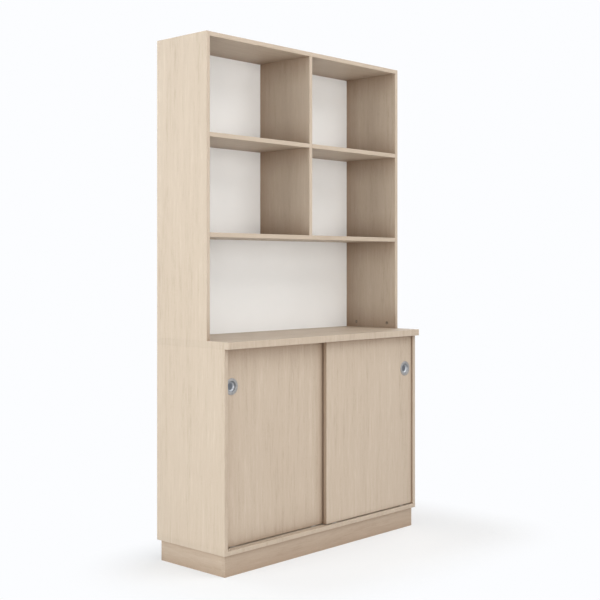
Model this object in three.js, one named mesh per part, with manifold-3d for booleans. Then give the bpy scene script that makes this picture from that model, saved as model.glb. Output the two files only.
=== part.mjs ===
// Bookcase with sliding doors: an open hutch on a low cabinet that two sliding doors close.
// Millimetres. +X points to the right seen from the front, the front faces -Y and +Z is up.
// The origin lies on the floor, in the middle of the footprint.

import * as THREE from 'three';
import { mergeVertices } from 'three/addons/utils/BufferGeometryUtils.js';
import Module from 'manifold-3d';

const wasm = await Module();
wasm.setup();

// Case
const caseWidth = 1200;
const lowerDepth = 400;
const hutchDepth = 298;
const plinthHeight = 84;
const plinthInset = 12;
const cabinetClearHeight = 774;
const bayClearHeight = 404;
const cellClearHeight = 373.5;
const boardThickness = 18;
const counterThickness = 28;
const counterOverhang = 22;

// Back panels, pinned to the rear edges of the boards
const backThickness = 3;
const backMargin = 2;
const backJointGap = 1;

// Edge banding
const bandRadius = 1.2;
const endBandRadius = 0.5;

// Loose shelves behind the doors, on pins in drilled rows
const shelfSetback = 4;
const shelfEndGap = 1.5;
const shelfRearGap = 1;
const shelfRestGap = 0.1;
const pinRadius = 2.5;
const pinShank = 7.5;
const pinReach = 7;
const pinCollarRadius = 3.6;
const pinCollarThickness = 1;
const pinBoreClearance = 0.15;
const pinBoreSpare = 0.5;
const pinInset = 45;
const pinPitch = 32;
const pinRowsEachWay = 2;

// Doors
const doorThickness = 18;
const doorRecess = 8;
const doorPassingGap = 6;
const doorSideGap = 2;
const doorFloorGap = 4;
const doorHeadGap = 3;
const doorLap = 12;
const partitionClearance = 10;

// Tracks, let in flush with the boards
const trackWidth = 8;
const trackWall = 1.2;
const trackBase = 1.5;
const lowerTrackHeight = 8;
const upperTrackHeight = 10;
const trackMouthChamfer = 0.5;
const trackEndGap = 0.5;

// Roller units in the lower edge of each door
const wheelRadius = 14;
const wheelTreadWidth = 4.4;
const wheelTreadDepth = 3;
const wheelTreadChamfer = 0.7;
const wheelWebWidth = 2.4;
const wheelHubRadius = 4.6;
const wheelHubWidth = 5;
const wheelLift = 0.1;
const wheelClearance = 1;
const wheelSideClearance = 0.2;
const axleRadius = 2;
const axleClearance = 0.2;
const axleSeatClearance = 0.15;
const axleChamfer = 0.4;
const housingWidth = 11;
const housingWall = 6;
const housingRoof = 1.6;
const mortiseClearance = 0.2;

// Roller units and guides sit this far in from each end of a door
const runnerInset = 60;

// Guides in the upper edge of each door
const guideLength = 34;
const guideWidth = 10;
const guideDepth = 18;
const tongueLength = 24;
const tongueWidth = 4.4;
const tongueReach = 7;
const tongueChamfer = 0.8;

// Round flush pulls
const pullRimRadius = 33;
const pullRimHeight = 1.4;
const pullRimRounding = 1.2;
const pullCupRadius = 21.5;
const pullLipRounding = 1.4;
const pullCupDepth = 9.6;
const pullCornerRounding = 9;
const pullWallDraft = Math.PI / 12;
const pullBarrelRadius = 26;
const pullBarrelDepth = 11.5;
const pullBoreClearance = 0.3;
const pullBoreSpare = 0.5;
const pullEndInset = 47;
const pullTopInset = 146;

// Cam fittings that hold the hutch to the counter
const camRadius = 7.5;
const camPastCentre = 3.5;
const camHeight = 24;
const camFrontInset = 50;
const camRearInset = 62;
const camBoreClearance = 0.3;
const camSlotWidth = 1.6;
const camSlotLength = 9;
const camSlotDepth = 2.4;
const camMouthRadius = 4;
const camMouthPast = 2.5;
const boltHeadRadius = 3.4;
const boltHeadLength = 4;
const boltShankRadius = 2.2;
const boltCollarRadius = 3.6;
const boltCollarThickness = 2;
const boltThreadRadius = 3;
const boltThreadLength = 11;
const boltBoreRadius = 4;
const boltBoreClearance = 0.3;

// How far a cutting body runs past the face that it opens, and the weld distance of a mesh
const overrun = 1;
const weldDistance = 0.0001;

// Facet counts
const cornerFacets = 3;
const smallFacets = 12;
const fittingFacets = 20;
const wheelFacets = 24;
const pullFacets = 36;
const cupFacets = 5;
const stadiumFacets = 5;

// Heights
const bottomTop = plinthHeight + boardThickness;
const counterUnder = bottomTop + cabinetClearHeight;
const counterTop = counterUnder + counterThickness;
const hutchHeight = bayClearHeight + 2 * cellClearHeight + 3 * boardThickness;

// Places across and in depth
const halfWidth = caseWidth / 2;
const halfClear = halfWidth - boardThickness;
const halfBoard = boardThickness / 2;
const footprintDepth = counterOverhang + lowerDepth + backThickness;
const counterFront = -footprintDepth / 2;
const caseFront = counterFront + counterOverhang;
const boardsRear = caseFront + lowerDepth;
const hutchFront = boardsRear - hutchDepth;

// Door lanes
const frontDoorFace = caseFront + doorRecess;
const rearDoorFace = frontDoorFace + doorThickness + doorPassingGap;
const partitionFront = rearDoorFace + doorThickness + partitionClearance;
const frontLane = frontDoorFace + doorThickness / 2;
const rearLane = rearDoorFace + doorThickness / 2;
const doorHeight = cabinetClearHeight - doorFloorGap - doorHeadGap;
const doorWidth = halfClear - doorSideGap + doorLap / 2;

// Loose shelves and their pins
const shelfFront = partitionFront + shelfSetback;
const shelfUnder = bottomTop + (cabinetClearHeight - boardThickness) / 2;
const pinLevel = shelfUnder - shelfRestGap - pinRadius;
const pinDepths = [shelfFront + pinInset, boardsRear - pinInset];
const pinBoreDepth = pinShank + pinBoreSpare;

// Roller units: places along the door, then heights above its lower edge
const runnerCentres = [runnerInset, doorWidth - runnerInset];
const trackFloorDrop = doorFloorGap + lowerTrackHeight - trackBase;
const axleHeight = wheelRadius + wheelLift - trackFloorDrop;
const wheelSlotHeight = axleHeight + wheelRadius + wheelClearance;
const wheelSlotLength = 2 * (wheelRadius + wheelClearance);
const wheelSlotWidth = wheelHubWidth + 2 * wheelSideClearance;
const housingHeight = wheelSlotHeight + housingRoof;
const housingLength = wheelSlotLength + 2 * housingWall;

// Cam fittings
const camDepths = [hutchFront + camFrontInset, boardsRear - camRearInset];
const camCentre = halfWidth - halfBoard;
const camDepth = halfBoard + camPastCentre;

// Finishes
const oakBoard = { color: 0xd3bfa3, roughness: 0.55, metalness: 0 };
const whiteBoard = { color: 0xe9e6e0, roughness: 0.6, metalness: 0 };
const satinAluminium = { color: 0xb4b7ba, roughness: 0.3, metalness: 1 };
const zincAlloy = { color: 0x8f8c88, roughness: 0.4, metalness: 1 };
const brightSteel = { color: 0xa9abad, roughness: 0.28, metalness: 1 };
const beigePlastic = { color: 0xcdbda4, roughness: 0.5, metalness: 0 };
const greyPlastic = { color: 0x86888a, roughness: 0.5, metalness: 0 };
const whiteNylon = { color: 0xe4e2dc, roughness: 0.45, metalness: 0 };

const unitX = new THREE.Vector3(1, 0, 0);
const unitY = new THREE.Vector3(0, 1, 0);
const unitZ = new THREE.Vector3(0, 0, 1);

// A drawing's across, up and along directions, laid on the case's axes for a run along each axis
const runTurns = {
  x: new THREE.Matrix4().makeBasis(unitY, unitZ, unitX),
  y: new THREE.Matrix4().makeBasis(unitZ, unitX, unitY),
  z: new THREE.Matrix4().makeBasis(unitX, unitY, unitZ),
};

// A turned form's own axis is Y, laid here on each of the case's axes
const latheTurns = {
  x: new THREE.Matrix4().makeBasis(unitZ, unitX, unitY),
  y: new THREE.Matrix4().makeBasis(unitX, unitY, unitZ),
  z: new THREE.Matrix4().makeBasis(unitY, unitZ, unitX),
};

// Makes a solid of a closed geometry: vertices welded, triangles without area left out
function solidOf(geometry) {
  geometry.deleteAttribute('normal');
  geometry.deleteAttribute('uv');
  const welded = mergeVertices(geometry, weldDistance);
  const corners = welded.index.array;
  const kept = [];
  for (let at = 0; at < corners.length; at += 3) {
    const [a, b, c] = corners.slice(at, at + 3);
    if (a !== b && b !== c && c !== a) {
      kept.push(a, b, c);
    }
  }
  const vertProperties = Float32Array.from(welded.attributes.position.array);
  return new wasm.Manifold(new wasm.Mesh({ numProp: 3, vertProperties, triVerts: Uint32Array.from(kept) }));
}

// Makes a mesh of a solid, with its own material
function pieceOf(name, solid, finish) {
  const mesh = solid.getMesh();
  const geometry = new THREE.BufferGeometry();
  geometry.setAttribute('position', new THREE.BufferAttribute(mesh.vertProperties, mesh.numProp));
  geometry.setIndex(new THREE.BufferAttribute(mesh.triVerts, 1));
  const flat = geometry.toNonIndexed();
  flat.computeVertexNormals();
  const piece = new THREE.Mesh(flat, new THREE.MeshStandardMaterial(finish));
  piece.name = name;
  return piece;
}

// Joins points to an outline, leaving out a point that repeats the one before it
function outlineOf(points) {
  const kept = points.filter((point, at) => {
    const before = points[(at + points.length - 1) % points.length];
    return point.distanceTo(before) > weldDistance;
  });
  return new THREE.Shape(kept);
}

function arcPoints(centreU, centreV, radius, startAngle, turn, facets) {
  const points = [];
  for (let step = 0; step <= facets; step += 1) {
    const angle = startAngle + turn * step / facets;
    points.push(new THREE.Vector2(centreU + radius * Math.cos(angle), centreV + radius * Math.sin(angle)));
  }
  return points;
}

// A rectangle whose corner radii are listed from (low, low) round by (high, low) to (low, high)
function boxOutline(lowU, highU, lowV, highV, radii = [0, 0, 0, 0], facets = cornerFacets) {
  const corners = [[lowU, lowV, 1, 1], [highU, lowV, -1, 1], [highU, highV, -1, -1], [lowU, highV, 1, -1]];
  const points = corners.flatMap(([u, v, inU, inV], at) => {
    const radius = radii[at];
    const startAngle = Math.PI + at * Math.PI / 2;
    return arcPoints(u + inU * radius, v + inV * radius, radius, startAngle, Math.PI / 2, facets);
  });
  return outlineOf(points);
}

function stadiumOutline(centreU, centreV, length, width) {
  const [halfLength, radius] = [length / 2, width / 2];
  const radii = [radius, radius, radius, radius];
  return boxOutline(centreU - halfLength, centreU + halfLength, centreV - radius, centreV + radius, radii,
    stadiumFacets);
}

function discOutline(centreU, centreV, radius, facets) {
  return outlineOf(arcPoints(centreU, centreV, radius, 0, 2 * Math.PI, facets));
}

// Runs an outline along an axis: the outline lies in (Y, Z) for x, in (Z, X) for y, in (X, Y) for z
function run(axis, outline, from, to) {
  const [low, high] = from < to ? [from, to] : [to, from];
  const geometry = new THREE.ExtrudeGeometry(outline, { depth: high - low, bevelEnabled: false });
  geometry.translate(0, 0, low);
  geometry.applyMatrix4(runTurns[axis]);
  return solidOf(geometry);
}

// Turns a profile of (radius, along) pairs about an axis
function turned(axis, profile, facets) {
  const points = profile.map(([radius, along]) => new THREE.Vector2(radius, along));
  const geometry = new THREE.LatheGeometry(points, facets);
  geometry.applyMatrix4(latheTurns[axis]);
  return solidOf(geometry);
}

function cutAll(solid, cutters) {
  return cutters.reduce((left, cutter) => left.subtract(cutter), solid);
}

// An upright board with banding on its front edge
function uprightBoard(lowX, highX, front, rear, low, high) {
  const outline = boxOutline(lowX, highX, front, rear, [bandRadius, bandRadius, 0, 0]);
  return run('z', outline, low, high);
}

// A level board with banding on its front edge
function levelBoard(lowX, highX, front, rear, low, high) {
  const outline = boxOutline(front, rear, low, high, [bandRadius, 0, 0, bandRadius]);
  return run('x', outline, lowX, highX);
}

// A level board that also shows both banded ends
function cappedBoard(lowX, highX, front, rear, low, high) {
  const radii = [endBandRadius, endBandRadius, endBandRadius, endBandRadius];
  const ends = run('y', boxOutline(low, high, lowX, highX, radii), front, rear);
  return levelBoard(lowX, highX, front, rear, low, high).intersect(ends);
}

// Plinth: front and rear boards run from side to side, with the side boards between them
function buildPlinth(cabinet) {
  const [left, right] = [plinthInset - halfWidth, halfWidth - plinthInset];
  const [front, rear] = [caseFront + plinthInset, boardsRear - plinthInset];
  const radii = [bandRadius, bandRadius, 0, 0];
  const frontOutline = boxOutline(left, right, front, front + boardThickness, radii);
  const rearOutline = boxOutline(left, right, rear - boardThickness, rear, [0, 0, bandRadius, bandRadius]);
  cabinet.add(pieceOf('plinth_front', run('z', frontOutline, 0, plinthHeight), oakBoard));
  cabinet.add(pieceOf('plinth_rear', run('z', rearOutline, 0, plinthHeight), oakBoard));
  const sides = { plinth_left: [left, left + boardThickness], plinth_right: [right - boardThickness, right] };
  for (const [name, [low, high]] of Object.entries(sides)) {
    const outline = boxOutline(low, high, front + boardThickness, rear - boardThickness);
    cabinet.add(pieceOf(name, run('z', outline, 0, plinthHeight), oakBoard));
  }
}

// The slot in a board for one track, as deep as the track is high
function trackGroove(lane, surface, rise) {
  const [low, high] = rise > 0 ? [surface - overrun, surface + rise] : [surface + rise, surface + overrun];
  const outline = boxOutline(lane - trackWidth / 2, lane + trackWidth / 2, low, high);
  return run('x', outline, -halfClear, halfClear);
}

function trackGrooves(surface, rise) {
  return [frontLane, rearLane].map((lane) => trackGroove(lane, surface, rise));
}

// The rows of blind holes for shelf pins, drilled from one face of an upright
function pinBores(face, inward) {
  const bores = [];
  for (const depth of pinDepths) {
    for (let row = -pinRowsEachWay; row <= pinRowsEachWay; row += 1) {
      const outline = discOutline(depth, pinLevel + row * pinPitch, pinRadius + pinBoreClearance, smallFacets);
      bores.push(run('x', outline, face - inward * overrun, face + inward * pinBoreDepth));
    }
  }
  return bores;
}

function buildCarcass(cabinet) {
  const bottom = cappedBoard(-halfWidth, halfWidth, caseFront, boardsRear, plinthHeight, bottomTop);
  const grooved = cutAll(bottom, trackGrooves(bottomTop, -lowerTrackHeight));
  cabinet.add(pieceOf('lower_bottom', grooved, oakBoard));
  for (const [name, hand] of [['lower_side_left', -1], ['lower_side_right', 1]]) {
    const [low, high] = hand < 0 ? [-halfWidth, -halfClear] : [halfClear, halfWidth];
    const board = uprightBoard(low, high, caseFront, boardsRear, bottomTop, counterUnder);
    cabinet.add(pieceOf(name, cutAll(board, pinBores(hand * halfClear, hand)), oakBoard));
  }
  const partition = uprightBoard(-halfBoard, halfBoard, partitionFront, boardsRear, bottomTop, counterUnder);
  const bores = [...pinBores(-halfBoard, 1), ...pinBores(halfBoard, -1)];
  cabinet.add(pieceOf('lower_partition', cutAll(partition, bores), oakBoard));
}

function buildCounter(cabinet) {
  const board = cappedBoard(-halfWidth, halfWidth, counterFront, boardsRear, counterUnder, counterTop);
  const cutters = trackGrooves(counterUnder, upperTrackHeight);
  const boreRadius = boltThreadRadius + boltBoreClearance;
  for (const hand of [-1, 1]) {
    for (const depth of camDepths) {
      const outline = discOutline(hand * camCentre, depth, boreRadius, smallFacets);
      cutters.push(run('z', outline, counterTop - boltThreadLength - boltBoreClearance, counterTop + overrun));
    }
  }
  cabinet.add(pieceOf('countertop', cutAll(board, cutters), oakBoard));
}

// The rear panels meet behind the middle of the counter's rear edge
function buildBacks(cabinet, hutch) {
  const rear = boardsRear + backThickness;
  const outline = boxOutline(backMargin - halfWidth, halfWidth - backMargin, boardsRear, rear);
  const meeting = counterTop - counterThickness / 2;
  const lower = run('z', outline, plinthHeight + backMargin, meeting - backJointGap / 2);
  const upper = run('z', outline, meeting + backJointGap / 2 - counterTop, hutchHeight - backMargin);
  cabinet.add(pieceOf('lower_back', lower, whiteBoard));
  hutch.add(pieceOf('hutch_back', upper, whiteBoard));
}

// A flanged pin whose shank points along -X from the origin, at the face that it is pushed into
function pinSolid() {
  return turned('x', [
    [0, -pinShank],
    [pinRadius, -pinShank],
    [pinRadius, 0],
    [pinCollarRadius, 0],
    [pinCollarRadius, pinCollarThickness],
    [pinRadius, pinCollarThickness],
    [pinRadius, pinReach],
    [0, pinReach],
  ], smallFacets);
}

function buildLooseShelves(cabinet) {
  const compartments = { left: [-halfClear, -halfBoard], right: [halfBoard, halfClear] };
  for (const [place, [low, high]] of Object.entries(compartments)) {
    const board = levelBoard(low + shelfEndGap, high - shelfEndGap, shelfFront, boardsRear - shelfRearGap,
      shelfUnder, shelfUnder + boardThickness);
    cabinet.add(pieceOf(`loose_shelf_${place}`, board, oakBoard));
    for (const [end, face, turn] of [['a', low, 0], ['b', high, Math.PI]]) {
      pinDepths.forEach((depth, at) => {
        const pin = pieceOf(`shelf_pin_${place}_${end}${at + 1}`, pinSolid(), brightSteel);
        pin.position.set(face, depth, pinLevel);
        pin.rotation.z = turn;
        cabinet.add(pin);
      });
    }
  }
}

// A channel whose base lies a given rise from the board's face, with a bevelled mouth at that face
function trackSolid(lane, surface, rise) {
  const side = Math.sign(rise);
  const base = surface + rise;
  const floor = base - side * trackBase;
  const outer = trackWidth / 2;
  const inner = outer - trackWall;
  const bevel = surface + side * trackMouthChamfer;
  const half = [
    [outer, base],
    [outer, surface],
    [inner + trackMouthChamfer, surface],
    [inner, bevel],
    [inner, floor],
  ];
  const mirrored = half.map(([across, up]) => [-across, up]).reverse();
  const points = [...half, ...mirrored].map(([across, up]) => new THREE.Vector2(lane + across, up));
  return run('x', outlineOf(points), trackEndGap - halfClear, halfClear - trackEndGap);
}

function buildTracks(cabinet) {
  for (const [place, lane] of [['front', frontLane], ['rear', rearLane]]) {
    const lower = trackSolid(lane, bottomTop, -lowerTrackHeight);
    const upper = trackSolid(lane, counterUnder, upperTrackHeight);
    cabinet.add(pieceOf(`lower_track_${place}`, lower, beigePlastic));
    cabinet.add(pieceOf(`upper_track_${place}`, upper, beigePlastic));
  }
}

// A hutch side, with a blind bore for each cam in its inner face and a bolt bore up from its lower edge
function hutchSide(hand) {
  const [low, high] = hand < 0 ? [-halfWidth, -halfClear] : [halfClear, halfWidth];
  const board = uprightBoard(low, high, hutchFront, boardsRear, 0, hutchHeight);
  const face = hand * halfClear;
  const cutters = camDepths.flatMap((depth) => [
    run('x', discOutline(depth, camHeight, camRadius + camBoreClearance, fittingFacets),
      face - hand * overrun, face + hand * (camDepth + camBoreClearance)),
    run('z', discOutline(hand * camCentre, depth, boltBoreRadius, smallFacets), -overrun, camHeight),
  ]);
  return cutAll(board, cutters);
}

function buildHutch(hutch) {
  hutch.add(pieceOf('hutch_side_left', hutchSide(-1), oakBoard));
  hutch.add(pieceOf('hutch_side_right', hutchSide(1), oakBoard));
  const longShelfTop = bayClearHeight + boardThickness;
  const cellShelfUnder = longShelfTop + cellClearHeight;
  const topUnder = hutchHeight - boardThickness;
  const top = levelBoard(-halfClear, halfClear, hutchFront, boardsRear, topUnder, hutchHeight);
  const longShelf = levelBoard(-halfClear, halfClear, hutchFront, boardsRear, bayClearHeight, longShelfTop);
  const divider = uprightBoard(-halfBoard, halfBoard, hutchFront, boardsRear, longShelfTop, topUnder);
  hutch.add(pieceOf('hutch_top', top, oakBoard));
  hutch.add(pieceOf('hutch_long_shelf', longShelf, oakBoard));
  hutch.add(pieceOf('hutch_divider', divider, oakBoard));
  const cellShelfTop = cellShelfUnder + boardThickness;
  for (const [place, low, high] of [['left', -halfClear, -halfBoard], ['right', halfBoard, halfClear]]) {
    const shelf = levelBoard(low, high, hutchFront, boardsRear, cellShelfUnder, cellShelfTop);
    hutch.add(pieceOf(`hutch_cell_shelf_${place}`, shelf, oakBoard));
  }
}

// A cam drum with its face at the origin and its body along -X, a cross slot in the face and a mouth
// at the bottom that takes the head of the bolt
function camSolid() {
  const drum = turned('x', [[0, -camDepth], [camRadius, -camDepth], [camRadius, 0], [0, 0]], fittingFacets);
  const [halfSlot, halfLength] = [camSlotWidth / 2, camSlotLength / 2];
  const levelSlot = boxOutline(-halfLength, halfLength, -halfSlot, halfSlot);
  const uprightSlot = boxOutline(-halfSlot, halfSlot, -halfLength, halfLength);
  const mouth = discOutline(-halfBoard, 0, camMouthRadius, smallFacets);
  return cutAll(drum, [
    run('x', levelSlot, -camSlotDepth, overrun),
    run('x', uprightSlot, -camSlotDepth, overrun),
    run('z', mouth, -camRadius - overrun, camMouthPast),
  ]);
}

// The bolt that a cam pulls on: thread in the counter, collar on it, shank and head up in the cam
function boltSolid() {
  const headTop = camHeight + boltHeadLength / 2;
  const headUnder = headTop - boltHeadLength;
  return turned('z', [
    [0, -boltThreadLength],
    [boltThreadRadius, -boltThreadLength],
    [boltThreadRadius, 0],
    [boltCollarRadius, 0],
    [boltCollarRadius, boltCollarThickness],
    [boltShankRadius, boltCollarThickness],
    [boltShankRadius, headUnder],
    [boltHeadRadius, headUnder],
    [boltHeadRadius, headTop],
    [0, headTop],
  ], smallFacets);
}

function buildCams(hutch) {
  for (const [place, hand, turn] of [['left', -1, 0], ['right', 1, Math.PI]]) {
    camDepths.forEach((depth, at) => {
      const cam = pieceOf(`cam_${place}_${at + 1}`, camSolid(), zincAlloy);
      cam.position.set(hand * halfClear, depth, camHeight);
      cam.rotation.z = turn;
      const bolt = pieceOf(`cam_bolt_${place}_${at + 1}`, boltSolid(), brightSteel);
      bolt.position.set(hand * camCentre, depth, 0);
      hutch.add(cam, bolt);
    });
  }
}

// Door pieces are drawn from the door's lower left front corner
function doorPanel(pullCentre) {
  const radii = [bandRadius, bandRadius, bandRadius, bandRadius];
  const upright = run('z', boxOutline(0, doorWidth, 0, doorThickness, radii), 0, doorHeight);
  const level = run('x', boxOutline(0, doorThickness, 0, doorHeight, radii), 0, doorWidth);
  const lane = doorThickness / 2;
  const boreOutline = discOutline(pullCentre.z, pullCentre.x, pullBarrelRadius + pullBoreClearance, pullFacets);
  const cutters = [run('y', boreOutline, -overrun, pullBarrelDepth + pullBoreSpare)];
  for (const centre of runnerCentres) {
    const slack = 2 * mortiseClearance;
    const lowerMortise = stadiumOutline(centre, lane, housingLength + slack, housingWidth + slack);
    const upperMortise = stadiumOutline(centre, lane, guideLength + slack, guideWidth + slack);
    cutters.push(run('z', lowerMortise, -overrun, housingHeight + mortiseClearance));
    cutters.push(run('z', upperMortise, doorHeight - guideDepth - mortiseClearance, doorHeight + overrun));
  }
  return cutAll(upright.intersect(level), cutters);
}

// A cast cup about the Y axis: floor, rounded corner, drafted wall and rounded lip, then the flat rim
// with its rounded edge, and the barrel behind it
function pullSolid() {
  const lip = { radius: pullCupRadius + pullLipRounding, depth: pullLipRounding - pullRimHeight };
  const cornerDepth = pullCupDepth - pullCornerRounding;
  const bothRoundings = pullCornerRounding + pullLipRounding;
  const wallDrop = cornerDepth - lip.depth + bothRoundings * Math.sin(pullWallDraft);
  const wallRun = bothRoundings * Math.cos(pullWallDraft) + wallDrop * Math.tan(pullWallDraft);
  const floorRadius = lip.radius - wallRun;
  const quarter = Math.PI / 2;
  const curves = [
    ...arcPoints(floorRadius, cornerDepth, pullCornerRounding, quarter, pullWallDraft - quarter, cupFacets),
    ...arcPoints(lip.radius, lip.depth, pullLipRounding, Math.PI + pullWallDraft, quarter - pullWallDraft,
      cornerFacets),
    ...arcPoints(pullRimRadius - pullRimRounding, pullRimRounding - pullRimHeight, pullRimRounding, -quarter,
      quarter, cornerFacets),
  ];
  return turned('y', [
    [0, pullCupDepth],
    ...curves.map((point) => [point.x, point.y]),
    [pullRimRadius, 0],
    [pullBarrelRadius, 0],
    [pullBarrelRadius, pullBarrelDepth],
    [0, pullBarrelDepth],
  ], pullFacets);
}

// The housing's lower face is at zero and its middle at the origin; the slot is open downwards
function housingSolid() {
  const body = run('z', stadiumOutline(0, 0, housingLength, housingWidth), 0, housingHeight);
  const slot = run('y', boxOutline(-overrun, wheelSlotHeight, -wheelSlotLength / 2, wheelSlotLength / 2),
    -wheelSlotWidth / 2, wheelSlotWidth / 2);
  const seat = run('y', discOutline(axleHeight, 0, axleRadius + axleSeatClearance, fittingFacets),
    -housingWidth / 2 - overrun, housingWidth / 2 + overrun);
  return cutAll(body, [slot, seat]);
}

function wheelSolid() {
  const [tread, web, hub] = [wheelTreadWidth / 2, wheelWebWidth / 2, wheelHubWidth / 2];
  const boreRadius = axleRadius + axleClearance;
  const rimRadius = wheelRadius - wheelTreadDepth;
  const half = [
    [boreRadius, hub],
    [wheelHubRadius, hub],
    [wheelHubRadius, web],
    [rimRadius, web],
    [rimRadius, tread],
    [wheelRadius - wheelTreadChamfer, tread],
    [wheelRadius, tread - wheelTreadChamfer],
  ];
  const mirrored = half.map(([radius, along]) => [radius, -along]);
  const loop = [...mirrored, ...half.reverse()];
  return turned('y', [...loop, loop[0]], wheelFacets);
}

function axleSolid() {
  const half = housingWidth / 2;
  return turned('y', [
    [0, -half],
    [axleRadius - axleChamfer, -half],
    [axleRadius, axleChamfer - half],
    [axleRadius, half - axleChamfer],
    [axleRadius - axleChamfer, half],
    [0, half],
  ], fittingFacets);
}

// A guide whose body ends flush with the door's upper edge, at zero, and whose tongue stands in the track
function guideSolid() {
  const body = run('z', stadiumOutline(0, 0, guideLength, guideWidth), -guideDepth, 0);
  const tip = doorHeadGap + tongueReach;
  const bevelled = outlineOf([
    [-tongueWidth / 2, -guideDepth / 2],
    [tongueWidth / 2, -guideDepth / 2],
    [tongueWidth / 2, tip - tongueChamfer],
    [tongueWidth / 2 - tongueChamfer, tip],
    [tongueChamfer - tongueWidth / 2, tip],
    [-tongueWidth / 2, tip - tongueChamfer],
  ].map(([across, up]) => new THREE.Vector2(across, up)));
  const tongue = run('z', stadiumOutline(0, 0, tongueLength, tongueWidth), -guideDepth / 2, tip);
  return body.add(tongue.intersect(run('x', bevelled, -tongueLength, tongueLength)));
}

function buildDoor(name, left, face, pullX) {
  const door = new THREE.Group();
  door.position.set(left, face, bottomTop + doorFloorGap);
  const lane = doorThickness / 2;
  const pullCentre = { x: pullX, z: doorHeight - pullTopInset };
  door.add(pieceOf(`${name}_panel`, doorPanel(pullCentre), oakBoard));
  const pull = pieceOf(`${name}_pull`, pullSolid(), satinAluminium);
  pull.position.set(pullCentre.x, 0, pullCentre.z);
  door.add(pull);
  runnerCentres.forEach((centre, at) => {
    const housing = pieceOf(`${name}_roller_housing_${at + 1}`, housingSolid(), greyPlastic);
    const wheel = pieceOf(`${name}_roller_wheel_${at + 1}`, wheelSolid(), whiteNylon);
    const axle = pieceOf(`${name}_roller_axle_${at + 1}`, axleSolid(), brightSteel);
    const guide = pieceOf(`${name}_top_guide_${at + 1}`, guideSolid(), greyPlastic);
    housing.position.set(centre, lane, 0);
    wheel.position.set(centre, lane, axleHeight);
    axle.position.set(centre, lane, axleHeight);
    guide.position.set(centre, lane, doorHeight);
    door.add(housing, wheel, axle, guide);
  });
  return door;
}

const cabinet = new THREE.Group();
const hutch = new THREE.Group();
hutch.position.z = counterTop;
buildPlinth(cabinet);
buildCarcass(cabinet);
buildCounter(cabinet);
buildBacks(cabinet, hutch);
buildLooseShelves(cabinet);
buildTracks(cabinet);
buildHutch(hutch);
buildCams(hutch);

const rightDoor = buildDoor('right_door', -doorLap / 2, frontDoorFace, doorWidth - pullEndInset);
const leftDoor = buildDoor('left_door', doorSideGap - halfClear, rearDoorFace, pullEndInset);

const bookcase = new THREE.Group();
bookcase.add(cabinet, hutch, leftDoor, rightDoor);

export default bookcase;
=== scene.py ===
"""Looks of a bookcase with sliding doors: an open hutch on a low cabinet.

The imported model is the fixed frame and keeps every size. Its boards, tracks and door units get
their finishes here. Its turned fittings are replaced by finer ones in the same places, and its
back panels by the same panels with nails.
"""

import logging
import math
from dataclasses import dataclass, field
from enum import Enum

import bmesh
import bpy
from mathutils import Matrix, Vector


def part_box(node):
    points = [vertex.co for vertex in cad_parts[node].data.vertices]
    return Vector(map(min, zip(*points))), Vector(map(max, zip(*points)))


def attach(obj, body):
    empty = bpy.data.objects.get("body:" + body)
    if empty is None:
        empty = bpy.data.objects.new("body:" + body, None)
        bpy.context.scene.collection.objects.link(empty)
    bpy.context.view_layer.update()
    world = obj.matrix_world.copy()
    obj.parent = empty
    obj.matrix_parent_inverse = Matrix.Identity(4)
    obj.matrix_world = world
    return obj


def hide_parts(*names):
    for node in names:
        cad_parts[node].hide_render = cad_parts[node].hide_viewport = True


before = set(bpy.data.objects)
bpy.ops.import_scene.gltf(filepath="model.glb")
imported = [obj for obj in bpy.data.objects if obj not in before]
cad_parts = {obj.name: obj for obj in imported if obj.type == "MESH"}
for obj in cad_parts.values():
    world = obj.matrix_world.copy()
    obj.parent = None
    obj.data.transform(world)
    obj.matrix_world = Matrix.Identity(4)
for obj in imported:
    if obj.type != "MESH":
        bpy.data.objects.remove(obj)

log = logging.getLogger("bookcase")

MM = 0.001
SHARP = math.radians(32)
WELD = 0.001 * MM
# Samples of the AO node that paints shade into the boards' corners and gaps.
PAINTED_SHADE_SAMPLES = 8
FINE = 3.0
Colour = tuple[float, float, float]
Point = tuple[float, float, float]
Pairs = list[tuple[float, float]]
Socket = bpy.types.NodeSocket
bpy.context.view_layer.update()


class Axis(Enum):
    """An axis of the frame: X to the right, Y to the rear, Z up."""

    X = 0
    Y = 1
    Z = 2


class Edge(Enum):
    """A banded edge of a board, as the axis it faces along and which end of that axis it is at."""

    FRONT = (1, -1)
    LEFT = (0, -1)
    RIGHT = (0, 1)
    BOTTOM = (2, -1)
    TOP = (2, 1)


@dataclass(frozen=True)
class Span:
    """A range and what it is carried to: low becomes to_low, and high becomes to_high."""

    low: float
    high: float
    to_low: float = 0.0
    to_high: float = 1.0


CLOUD = Span(0.35, 0.65)
WARM: Colour = (1.0, 0.99, 0.98)


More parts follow.
